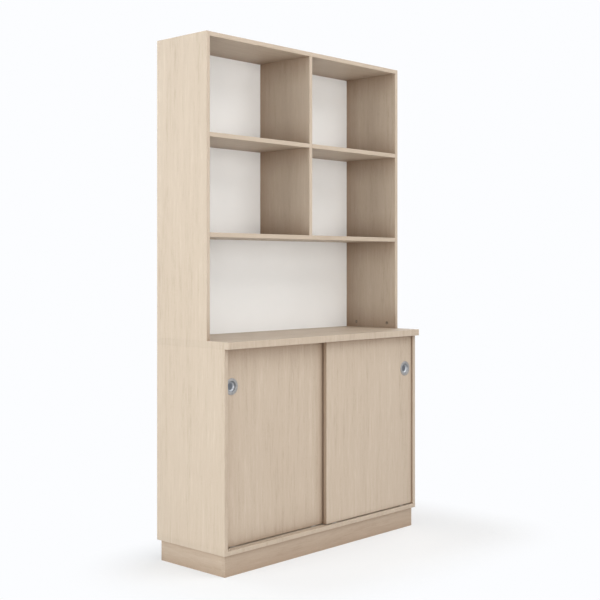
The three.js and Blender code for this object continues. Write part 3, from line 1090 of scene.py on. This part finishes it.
def cut_away(piece: bpy.types.Object, cutter: bpy.types.Object) -> None:
    """Cuts one piece out of another and removes the cutter.

    Args:
        piece: the piece that is cut.
        cutter: the piece that is taken out of it.
    """
    modifier = piece.modifiers.new("cut", "BOOLEAN")
    modifier.operation = "DIFFERENCE"
    modifier.solver = "EXACT"
    modifier.use_self = True
    modifier.object = cutter
    bpy.context.view_layer.update()
    graph = bpy.context.evaluated_depsgraph_get()
    data = bpy.data.meshes.new_from_object(piece.evaluated_get(graph))
    piece.modifiers.clear()
    mesh = bmesh.new()
    mesh.from_mesh(data)
    bmesh.ops.remove_doubles(mesh, verts=mesh.verts, dist=WELD)
    smooth_but_sharp(mesh)
    mesh.to_mesh(data)
    mesh.free()
    piece.data = data
    bpy.data.objects.remove(cutter)


@dataclass
class FlushPull:
    """A round cup pull of turned aluminium."""

    door: str
    rim_radius: float = 33.0 * MM
    rim_height: float = 1.4 * MM
    rim_rounding: float = 1.2 * MM
    cup_radius: float = 21.5 * MM
    lip_rounding: float = 1.4 * MM
    cup_depth: float = 9.6 * MM
    corner_rounding: float = 9.0 * MM
    wall_draft: float = math.radians(15)
    barrel_radius: float = 26.0 * MM
    barrel_depth: float = 11.5 * MM
    corner_steps: int = 16
    lip_steps: int = 8
    rim_steps: int = 6
    facets: int = 128
    finish: TurnedAluminium = TurnedAluminium()

    def profile(self) -> Pairs:
        """The pull's outline; zero along it is the door's face.

        Returns:
            Pairs of radius and place along Y, from the middle of the cup to the rear end of the barrel.
        """
        quarter = math.pi / 2
        wall_turn = quarter - self.wall_draft
        lip = (self.cup_radius + self.lip_rounding, self.lip_rounding - self.rim_height)
        corner_depth = self.cup_depth - self.corner_rounding
        both = self.corner_rounding + self.lip_rounding
        wall_drop = corner_depth - lip[1] + both * math.sin(self.wall_draft)
        wall_run = both * math.cos(self.wall_draft) + wall_drop * math.tan(self.wall_draft)
        corner = (lip[0] - wall_run, corner_depth)
        edge = (self.rim_radius - self.rim_rounding, self.rim_rounding - self.rim_height)
        return [
            (0.0, self.cup_depth),
            *arc(corner, self.corner_rounding, quarter, -wall_turn, self.corner_steps),
            *arc(lip, self.lip_rounding, math.pi + self.wall_draft, wall_turn, self.lip_steps),
            *arc(edge, self.rim_rounding, -quarter, quarter, self.rim_steps),
            (self.rim_radius, 0.0),
            (self.barrel_radius, 0.0),
            (self.barrel_radius, self.barrel_depth),
            (0.0, self.barrel_depth),
        ]

    def build(self) -> None:
        """Replaces the door's pull."""
        node = f"{self.door}_pull"
        low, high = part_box(node)
        centre = Vector(((low.x + high.x) / 2, low.y + self.rim_height, (low.z + high.z) / 2))
        mesh = turned_mesh(self.profile(), self.facets, Axis.Y)
        bmesh.ops.translate(mesh, verts=mesh.verts, vec=centre)
        material = self.finish.dress(f"aluminium_{self.door}", centre, self.cup_radius)
        piece = new_piece(f"{self.door}_cup_pull", mesh, material)
        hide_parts(node)
        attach(piece, self.door)
        log.info("pull of %s built", self.door)


@dataclass
class RollerWheel:
    """A small nylon wheel with a narrow tread, web and hub."""

    radius: float = 14.0 * MM
    tread_half: float = 2.2 * MM
    tread_rounding: float = 0.7 * MM
    rim_radius: float = 11.0 * MM
    web_half: float = 1.2 * MM
    hub_radius: float = 4.6 * MM
    hub_half: float = 2.5 * MM
    hub_chamfer: float = 0.3 * MM
    rim_chamfer: float = 0.4 * MM
    rim_flare: float = 0.3 * MM
    bore_radius: float = 2.2 * MM
    tread_steps: int = 4
    facets: int = 64

    def half_profile(self) -> Pairs:
        """The outline of one side; zero along it is the wheel's middle plane.

        Returns:
            Pairs of radius and place along Y, from the bore to the tread.
        """
        rounding = self.tread_rounding
        corner = (self.radius - rounding, self.tread_half - rounding)
        return [
            (self.bore_radius, self.hub_half),
            (self.hub_radius - self.hub_chamfer, self.hub_half),
            (self.hub_radius, self.hub_half - self.hub_chamfer),
            (self.hub_radius, self.web_half + self.hub_chamfer),
            (self.hub_radius + self.hub_chamfer, self.web_half),
            (self.rim_radius - self.rim_chamfer, self.web_half),
            (self.rim_radius, self.web_half + self.rim_chamfer),
            (self.rim_radius + self.rim_flare, self.tread_half),
            *arc(corner, rounding, math.pi / 2, -math.pi / 2, self.tread_steps),
        ]

    def build(self, door: str, row: int, material: bpy.types.Material) -> None:
        """Replaces one wheel.

        Args:
            door: the door that it carries.
            row: its number.
            material: its material.
        """
        node = f"{door}_roller_wheel_{row}"
        half = self.half_profile()
        loop = [(radius, -along) for radius, along in half] + half[::-1]
        mesh = turned_mesh([*loop, loop[0]], self.facets, Axis.Y)
        bmesh.ops.remove_doubles(mesh, verts=mesh.verts, dist=WELD)
        bmesh.ops.recalc_face_normals(mesh, faces=mesh.faces)
        smooth_but_sharp(mesh)
        bmesh.ops.translate(mesh, verts=mesh.verts, vec=middle_of(node))
        piece = new_piece(f"{door}_wheel_{row}", mesh, material)
        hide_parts(node)
        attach(piece, f"{door.split('_')[0]}_wheel_{row}")


@dataclass
class SlidingDoor:
    """A banded door panel with its pull, roller units and top guides."""

    name: str
    seed: int
    wheel: RollerWheel = field(default_factory=RollerWheel)

    def build(self) -> None:
        """Dresses the panel and the units, and builds the pull and the wheels."""
        bands = (Edge.LEFT, Edge.RIGHT, Edge.BOTTOM, Edge.TOP)
        BoardWork({f"{self.name}_panel": Board(Axis.Z, bands)}, self.seed).dress()
        FlushPull(self.name).build()
        housing, nylon, steel = HOUSING_PLASTIC.dress(), WHEEL_NYLON.dress(), PLATED_STEEL.dress()
        for row in (1, 2):
            set_material(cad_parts[f"{self.name}_roller_housing_{row}"], housing)
            set_material(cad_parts[f"{self.name}_top_guide_{row}"], housing)
            set_material(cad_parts[f"{self.name}_roller_axle_{row}"], steel)
            self.wheel.build(self.name, row, nylon)
        log.info("%s built", self.name)


@dataclass
class NailedBack:
    """A white back panel and the nails that hold it to the rear edges of the boards.

    The nails are driven in until their heads lie just under the panel's face.
    """

    node: str
    upright: tuple[str, ...]
    level: tuple[str, ...]
    free_edge: Edge
    head_radius: float = 1.9 * MM
    head_dome: float = 0.22 * MM
    head_drop: float = 0.05 * MM
    dome_angles: tuple[float, ...] = (0.5, 0.9, 1.25)
    pit_radius: float = 2.15 * MM
    pit_depth: float = 0.45 * MM
    overrun: float = 0.5 * MM
    edge_inset: float = 7.0 * MM
    pitch: float = 150.0 * MM
    end_inset: float = 30.0 * MM
    facets: int = 24

    def row(self, fixed: float, low: float, high: float) -> list[float]:
        """Even places along a line.

        Args:
            fixed: distance kept clear at each end.
            low: start of the line.
            high: end of the line.

        Returns:
            The places.
        """
        start, end = low + fixed, high - fixed
        gaps = max(1, round((end - start) / self.pitch))
        return [start + (end - start) * step / gaps for step in range(gaps + 1)]

    def places(self) -> Pairs:
        """Where the nails are, as pairs of X and Z.

        Returns:
            The places.
        """
        low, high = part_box(self.node)
        found = []
        for board in self.upright:
            board_low, board_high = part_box(board)
            across = (board_low.x + board_high.x) / 2
            bottom, top = max(low.z, board_low.z), min(high.z, board_high.z)
            found += [(across, up) for up in self.row(self.end_inset, bottom, top)]
        for board in self.level:
            board_low, board_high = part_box(board)
            up = (board_low.z + board_high.z) / 2
            left, right = max(low.x, board_low.x), min(high.x, board_high.x)
            found += [(across, up) for across in self.row(2 * self.end_inset, left, right)]
        edge = high.z - self.edge_inset if self.free_edge is Edge.TOP else low.z + self.edge_inset
        found += [(across, edge) for across in self.row(2 * self.end_inset, low.x, high.x)]
        return found

    def at_each_nail(self, profile: Pairs) -> bmesh.types.BMesh:
        """Turns a profile at each nail; zero along it is the panel's rear face.

        Args:
            profile: pairs of radius and place along Y.

        Returns:
            The forms in one mesh.
        """
        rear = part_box(self.node)[1].y
        whole = bmesh.new()
        data = bpy.data.meshes.new("nail")
        for across, up in self.places():
            form = turned_mesh(profile, self.facets, Axis.Y)
            bmesh.ops.translate(form, verts=form.verts, vec=(across, rear, up))
            form.to_mesh(data)
            form.free()
            whole.from_mesh(data)
        bpy.data.meshes.remove(data)
        return whole

    def build(self) -> None:
        """Replaces the panel by one with a pit at each nail, and adds the heads."""
        material = LacqueredBoard().dress(self.node)
        mesh = bmesh.new()
        mesh.from_mesh(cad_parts[self.node].data)
        panel = new_piece(f"{self.node}_panel", mesh, material)
        pit = [(0.0, -self.pit_depth), (self.pit_radius, -self.pit_depth)]
        pit += [(self.pit_radius, self.overrun), (0.0, self.overrun)]
        cut_away(panel, new_piece(f"{self.node}_pits", self.at_each_nail(pit), material))
        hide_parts(self.node)
        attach(panel, "cabinet")
        radius, shoulder = self.head_radius, -self.head_drop - self.head_dome
        head = [(0.0, -self.pit_depth), (radius, -self.pit_depth), (radius, shoulder)]
        for angle in self.dome_angles:
            head.append((radius * math.cos(angle), shoulder + self.head_dome * math.sin(angle)))
        head.append((0.0, -self.head_drop))
        nails = new_piece(f"{self.node}_nails", self.at_each_nail(head), PLATED_STEEL.dress())
        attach(nails, "cabinet")
        log.info("%s and its nails built", self.node)


@dataclass(frozen=True)
class Softbox:
    """One square soft lamp, pointed at the middle of the piece."""

    name: str
    place: Point
    size: float
    power: float
    tint: Colour = (1.0, 1.0, 1.0)
    target: Point = (0.0, 0.0, 1.0)

    def build(self) -> None:
        """Adds the lamp."""
        data = bpy.data.lights.new(self.name, "AREA")
        data.shape = "SQUARE"
        data.size = self.size
        data.energy = self.power
        data.color = self.tint
        lamp = bpy.data.objects.new(self.name, data)
        lamp.location = self.place
        aim = Vector(self.target) - Vector(self.place)
        lamp.rotation_euler = aim.to_track_quat("-Z", "Y").to_euler()
        bpy.context.scene.collection.objects.link(lamp)


@dataclass
class Studio:
    """Camera, floor, lamps and world."""

    place: Point = (-3.4763, -3.2665, 1.1959)
    turn: float = -46.996
    lens: float = 66.086
    shift: float = -0.05707
    sensor: float = 36.0
    far_clip: float = 100.0
    floor_half: float = 40.0
    backdrop: Colour = (0.973, 0.982, 1.0)
    ambient: Colour = (0.97, 0.985, 1.0)
    ambient_strength: float = 0.09
    floor_colour: Colour = (0.93, 0.92, 0.91)
    floor_tone: Colour = (0.48, 0.48, 0.478)
    floor_lift: float = 0.43
    shadow_centre: Point = (0.03, -0.18, 0.0)
    shadow_half: Point = (0.6, 0.2, 0.0)
    fade_start: float = 0.10
    fade_end: float = 0.50
    lamps: tuple[Softbox, ...] = (
        Softbox("left", (-6.0, 0.6, 1.9), 4.0, 270.0, (0.945, 0.99, 1.0)),
        Softbox("left_front", (-4.2, -4.6, 1.6), 3.0, 88.0, WARM),
        Softbox("front_left", (-2.5, -6.0, 1.6), 3.0, 70.0, WARM),
        Softbox("front_right", (0.8, -6.0, 1.4), 3.0, 31.0, WARM),
        Softbox("front_high", (2.5, -3.6, 4.6), 4.0, 52.0),
        Softbox("front_top", (0.3, -3.0, 5.4), 5.0, 198.0),
        Softbox("right", (6.0, 1.2, 1.9), 4.0, 144.0),
        Softbox("rear", (-1.8, 5.4, 3.2), 4.0, 134.0),
    )

    def camera(self) -> None:
        """The camera at the photograph's angle."""
        data = bpy.data.cameras.new("camera")
        data.lens = self.lens
        data.sensor_width = self.sensor
        data.shift_y = self.shift
        data.clip_end = self.far_clip
        camera = bpy.data.objects.new("camera", data)
        camera.location = self.place
        camera.rotation_euler = (math.radians(90.0), 0.0, math.radians(self.turn))
        bpy.context.scene.collection.objects.link(camera)
        bpy.context.scene.camera = camera

    def floor(self) -> None:
        """A plain pale floor, with the shadow near the object and the backdrop's white beyond."""
        mesh = bmesh.new()
        bmesh.ops.create_grid(mesh, x_segments=1, y_segments=1, size=self.floor_half)
        sheet = Sheet("floor")
        lifted = sheet.tree.nodes.new("ShaderNodeAddShader")
        sheet.put(lifted.inputs[0], sheet.plain_shader("ShaderNodeBsdfDiffuse", self.floor_tone))
        lift = sheet.plain_shader("ShaderNodeEmission", self.backdrop, self.floor_lift)
        sheet.put(lifted.inputs[1], lift)
        arm = sheet.vector("ABSOLUTE", sheet.vector("SUBTRACT", sheet.place, self.shadow_centre))
        beyond = sheet.vector("SUBTRACT", arm, self.shadow_half)
        reach = sheet.vector("LENGTH", sheet.vector("MAXIMUM", beyond, (0.0, 0.0, 0.0)))
        far = sheet.remap(reach, Span(self.fade_start, self.fade_end))
        white = sheet.plain_shader("ShaderNodeEmission", self.backdrop, 1.0)
        shown = sheet.mix_shaders(far, lifted.outputs[0], white)
        own = sheet.plain_shader("ShaderNodeBsdfDiffuse", self.floor_colour)
        sheet.put(sheet.output.inputs["Surface"], sheet.mix_shaders(sheet.seen(), own, shown))
        floor = new_piece("floor", mesh, sheet.material)

    def world(self) -> None:
        """Soft light from all round, with a white backdrop where it is seen."""
        world = bpy.data.worlds.new("studio")
        bpy.context.scene.world = world
        tree = NodeTree(world, "ShaderNodeOutputWorld")
        light = tree.plain_shader("ShaderNodeBackground", self.ambient, self.ambient_strength)
        shown = tree.plain_shader("ShaderNodeBackground", self.backdrop, 1.0)
        tree.put(tree.output.inputs["Surface"], tree.mix_shaders(tree.seen(), light, shown))

    def build(self) -> None:
        """Builds the studio."""
        bpy.context.scene.view_settings.view_transform = "Standard"
        self.camera()
        self.floor()
        self.world()
        for lamp in self.lamps:
            lamp.build()
        log.info("studio built")


def main() -> None:
    """Builds the studio and each sub-assembly, in order."""
    logging.basicConfig(level=logging.INFO, format="%(name)s: %(message)s", force=True)
    builders = [
        Studio(),
        Plinth(),
        Cabinet(),
        Hutch(),
        ShelfPins(),
        CamFittings(),
        SlidingDoor("left_door", 51),
        SlidingDoor("right_door", 57),
        NailedBack(
            "lower_back",
            ("lower_side_left", "lower_side_right", "lower_partition"),
            ("lower_bottom",),
            Edge.TOP,
        ),
        NailedBack(
            "hutch_back",
            ("hutch_side_left", "hutch_side_right", "hutch_divider"),
            ("hutch_top", "hutch_long_shelf", "hutch_cell_shelf_left", "hutch_cell_shelf_right"),
            Edge.BOTTOM,
        ),
    ]
    for builder in builders:
        builder.build()


if __name__ == "__main__":
    main()
